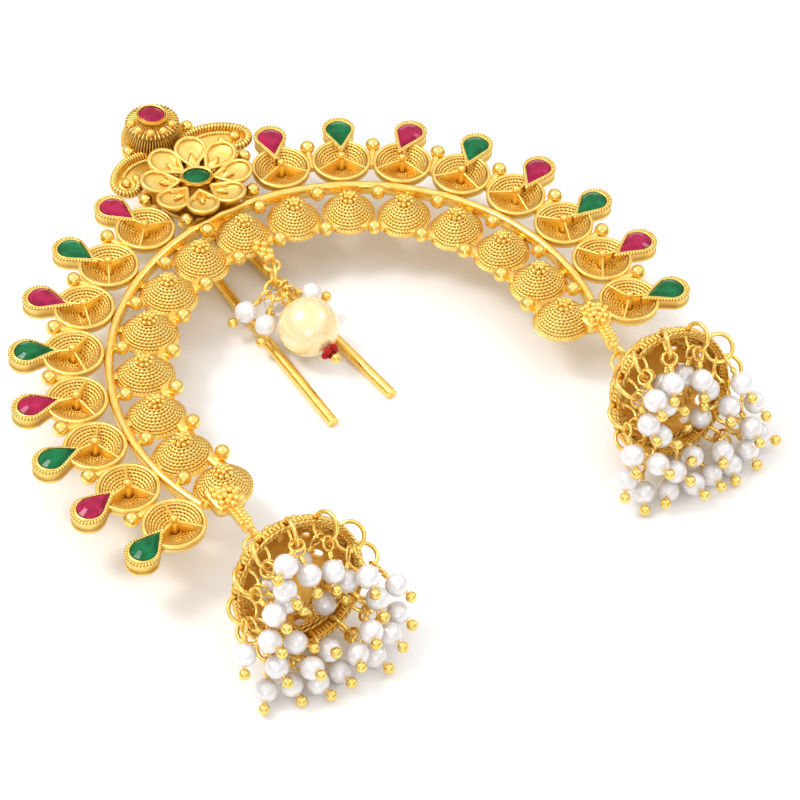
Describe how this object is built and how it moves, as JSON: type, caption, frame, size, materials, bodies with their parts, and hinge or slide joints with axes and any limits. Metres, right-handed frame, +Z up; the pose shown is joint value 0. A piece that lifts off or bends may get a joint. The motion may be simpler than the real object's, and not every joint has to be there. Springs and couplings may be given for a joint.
{
  "type": "hair bun pin",
  "caption": "Crescent hair bun pin: domes and stone-set cups round a bright rail, a flower and domed finial, two pearl-fringed bells, a pearl drop and a two-legged pin behind.",
  "frame": {"origin": "middle of the table under the whole piece, at the height of the table", "axes": "+Y from the bells towards the flower and the finial, +Z up from the table, +X to the piece's right end in the picture"},
  "size_m": [0.0898, 0.0952, 0.0191],
  "materials": {
    "gold": "matt gold plating, bright on the rail, balls and rings",
    "red_stone": "polished, cut",
    "green_stone": "polished, cut",
    "white_pearl": "pearl lustre",
    "cream_pearl": "pearl lustre",
    "red_bead": "glossy"
  },
  "bodies": {
    "root": {"arc_frame": "gold", "flower_stone": "green_stone", "finial_stone": "red_stone", "hair_pin": "gold", "centre_bail": "gold", "centre_ring": "gold", "centre_pins": "gold", "centre_pearls": "white_pearl", "big_pearl": "cream_pearl", "red_beads": "red_bead", "stone_l1": "red_stone", "stone_l2": "green_stone", "stone_l3": "red_stone", "stone_l4": "green_stone", "stone_l5": "red_stone", "stone_l6": "green_stone", "stone_l7": "red_stone", "stone_l8": "green_stone", "stone_r1": "red_stone", "stone_r2": "green_stone", "stone_r3": "red_stone", "stone_r4": "green_stone", "stone_r5": "red_stone", "stone_r6": "green_stone", "stone_r7": "red_stone", "stone_r8": "green_stone", "left_link": "gold", "left_bell": "gold", "left_rim_rings": "gold", "left_pins": "gold", "left_pearls": "white_pearl", "right_link": "gold", "right_bell": "gold", "right_rim_rings": "gold", "right_pins": "gold", "right_pearls": "white_pearl"}
  },
  "joints": []
}
